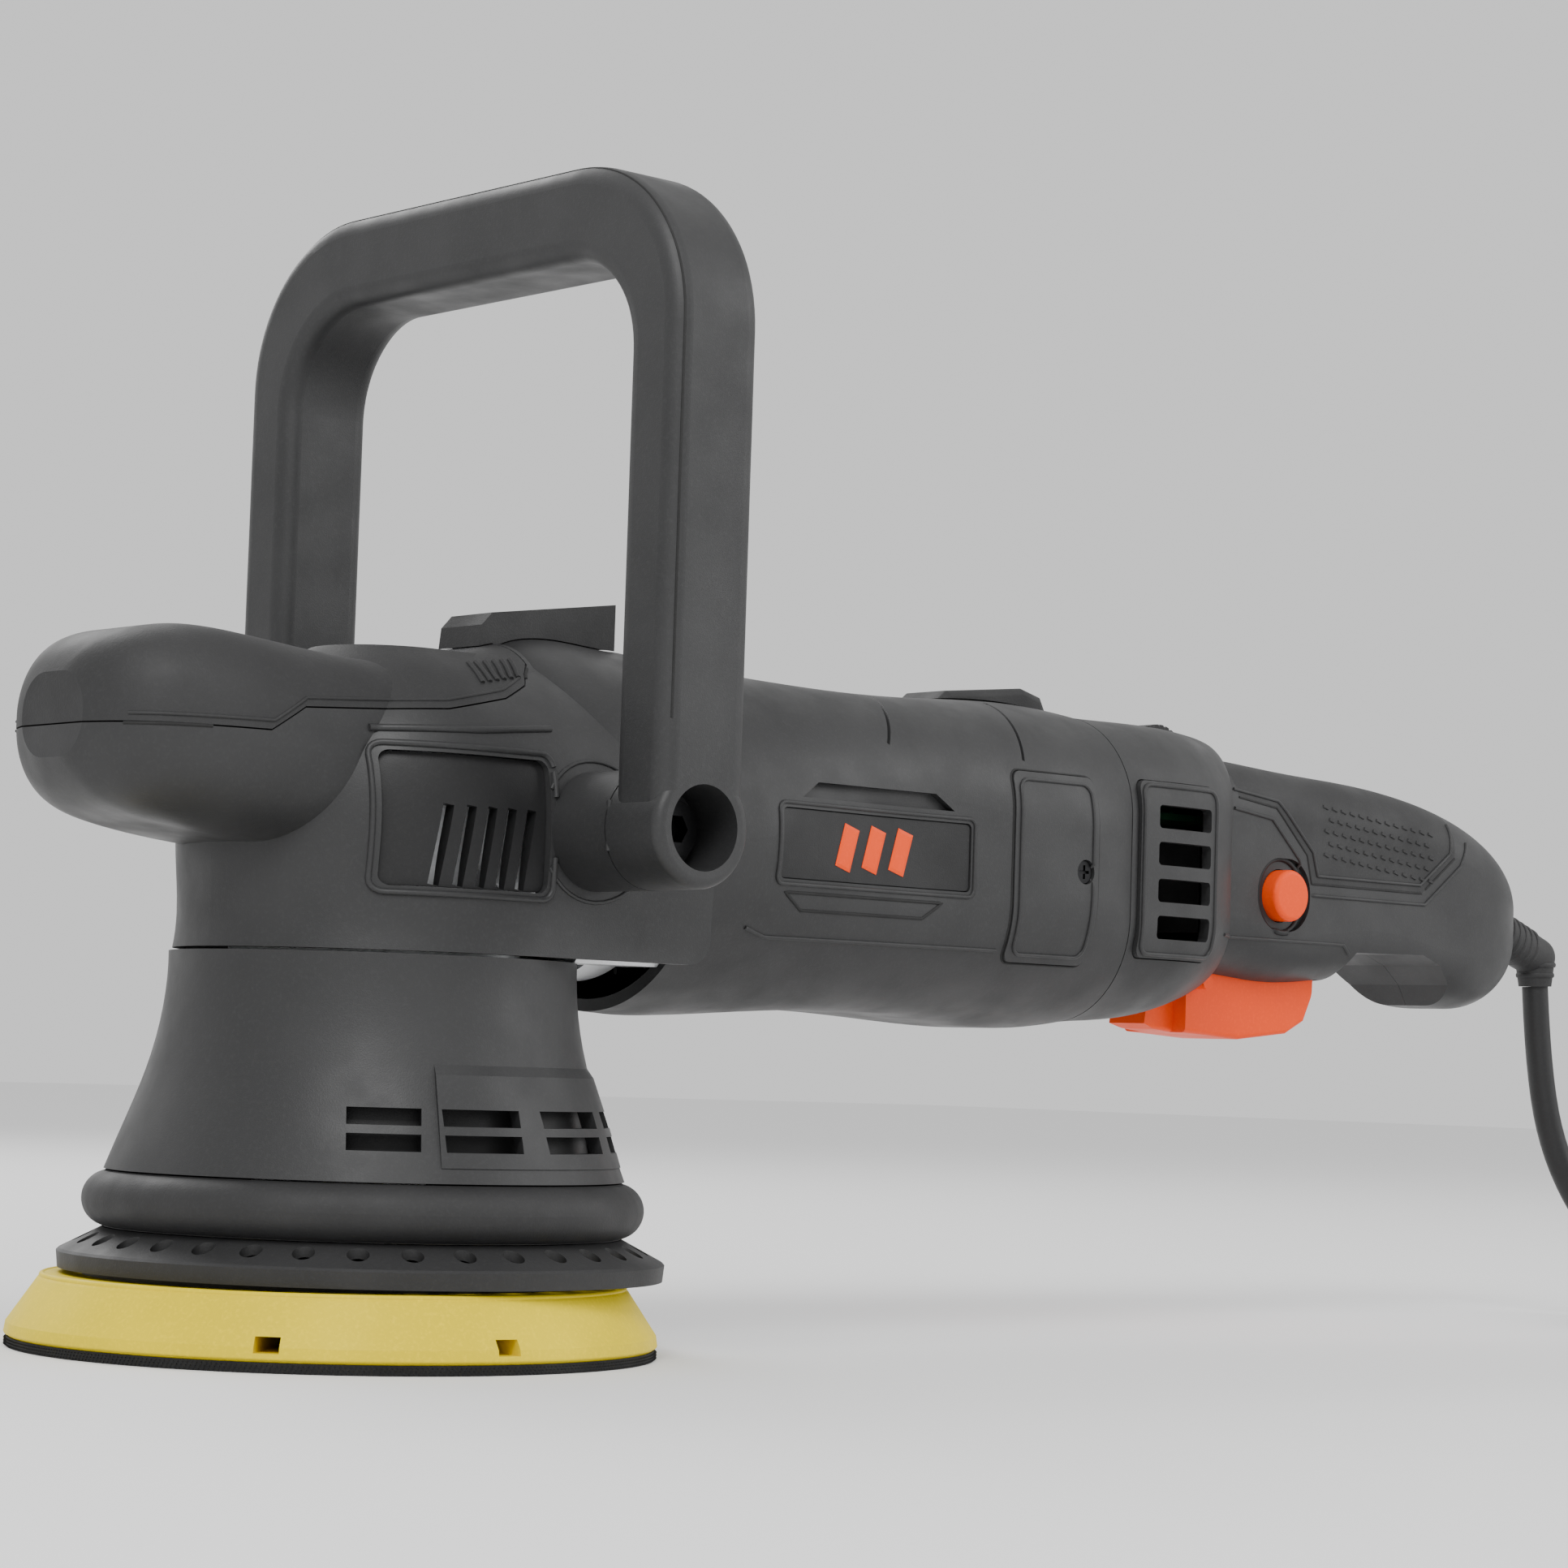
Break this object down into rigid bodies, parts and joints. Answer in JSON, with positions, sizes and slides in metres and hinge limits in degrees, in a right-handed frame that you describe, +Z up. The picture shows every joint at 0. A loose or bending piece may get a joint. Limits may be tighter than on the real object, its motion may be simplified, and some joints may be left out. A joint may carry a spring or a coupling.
{
  "type": "orbital polisher",
  "caption": "Corded dual-action polisher with a bail front handle, a palm grip, a rear grip with paddle trigger, and an eccentric backing pad under a flared shroud.",
  "frame": {"origin": "centre of the backing pad's working face, on the plane the tool stands on; the spindle axis is 7.5 mm towards +X", "axes": "+Z up along the pad and spindle axes; +X from the palm grip to the rear handle, along the motor axis; +Y across, towards the side without the lock button"},
  "size_m": [0.6184, 0.2284, 0.2755],
  "materials": {
    "black_plastic": "fine moulded texture",
    "dark_plastic": "fine moulded texture",
    "soft_rubber": "soft, textured",
    "gloss_insert": "polished",
    "orange_plastic": "smooth satin",
    "yellow_pad": "moulded polyurethane",
    "hook_fabric": "hook pile",
    "cast_aluminium": "as cast, bead blasted",
    "steel": "ground",
    "dark_screw": "black oxide",
    "copper_wire": "enamelled copper winding",
    "carbon": "pressed carbon",
    "laminate": "stacked laminations",
    "brass_fitting": "bright",
    "board": "circuit board",
    "cord_jacket": "smooth jacket"
  },
  "bodies": {
    "housing": {"gear_case": "cast_aluminium", "spindle_upper_bearing": "steel", "spindle_lower_bearing": "steel", "bearing_plate": "cast_aluminium", "front_bearing": "steel", "head_cover": "black_plastic", "palm_grip": "soft_rubber", "palm_insert": "gloss_insert", "side_louvres": "dark_plastic", "front_rest": "soft_rubber", "bail_handle": "black_plastic", "bail_screws": "dark_screw", "shroud": "black_plastic", "bumper_ring": "soft_rubber", "pad_brake_skirt": "soft_rubber", "motor_housing": "black_plastic", "rear_rest": "soft_rubber", "label_plates": "dark_plastic", "left_brush_door": "black_plastic", "right_brush_door": "black_plastic", "brush_door_screws": "dark_screw", "brush_holders": "brass_fitting", "carbon_brushes": "carbon", "brush_springs": "steel", "stator_core": "laminate", "field_coils": "copper_wire", "rear_bearing": "steel", "left_handle_shell": "black_plastic", "right_handle_shell": "black_plastic", "handle_screws": "dark_screw", "left_vent_cover": "black_plastic", "right_vent_cover": "black_plastic", "left_grip": "soft_rubber", "right_grip": "soft_rubber", "switch_body": "dark_plastic", "control_board": "board", "cord_clamp": "dark_plastic", "strain_relief": "soft_rubber", "power_cord": "cord_jacket", "cord_coil": "cord_jacket", "plug_body": "cord_jacket", "plug_blades": "brass_fitting"},
    "armature": {"armature_shaft": "steel", "armature_core": "laminate", "armature_windings": "copper_wire", "commutator": "brass_fitting", "fan": "dark_plastic", "bevel_pinion": "steel"},
    "spindle_unit": {"spindle": "steel", "bevel_gear": "steel", "counterweight": "cast_aluminium", "arbor_bearings": "steel"},
    "pad": {"pad_arbor": "steel", "hub_plate": "dark_plastic", "backing_pad": "yellow_pad", "hook_face": "hook_fabric", "pad_bolt": "dark_screw"},
    "trigger": {"trigger": "orange_plastic"},
    "lock_button": {"lock_button": "orange_plastic"},
    "speed_dial": {"speed_dial": "dark_plastic"}
  },
  "joints": [
    {"name": "spindle_spin", "type": "hinge", "parent": "housing", "child": "spindle_unit", "pos_m": [0.0075, 0, 0.09], "axis": [0, 0, 1], "continuous": true},
    {"name": "motor_spin", "type": "hinge", "parent": "housing", "child": "armature", "pos_m": [0.12, 0, 0.124], "axis": [1, 0, 0], "continuous": true},
    {"name": "pad_spin", "type": "hinge", "parent": "spindle_unit", "child": "pad", "pos_m": [0, 0, 0.02], "axis": [0, 0, 1], "continuous": true},
    {"name": "trigger_pull", "type": "hinge", "parent": "housing", "child": "trigger", "pos_m": [0.281, 0, 0.096], "axis": [0, -1, 0], "range_deg": [0, 6.5], "stiffness_Nm_per_rad": 1.2, "springref_deg": -14.32},
    {"name": "lock_press", "type": "slide", "parent": "housing", "child": "lock_button", "axis": [0, 1, 0], "range_m": [0, 0.0025], "stiffness_N_per_m": 800, "springref_m": -0.003},
    {"name": "speed_turn", "type": "hinge", "parent": "housing", "child": "speed_dial", "pos_m": [0.272, 0, 0.1565], "axis": [0, 1, 0], "range_deg": [0, 270]}
  ],
  "couplings": [
    {"joint": "motor_spin", "follows": "spindle_spin", "ratio": 4}
  ]
}
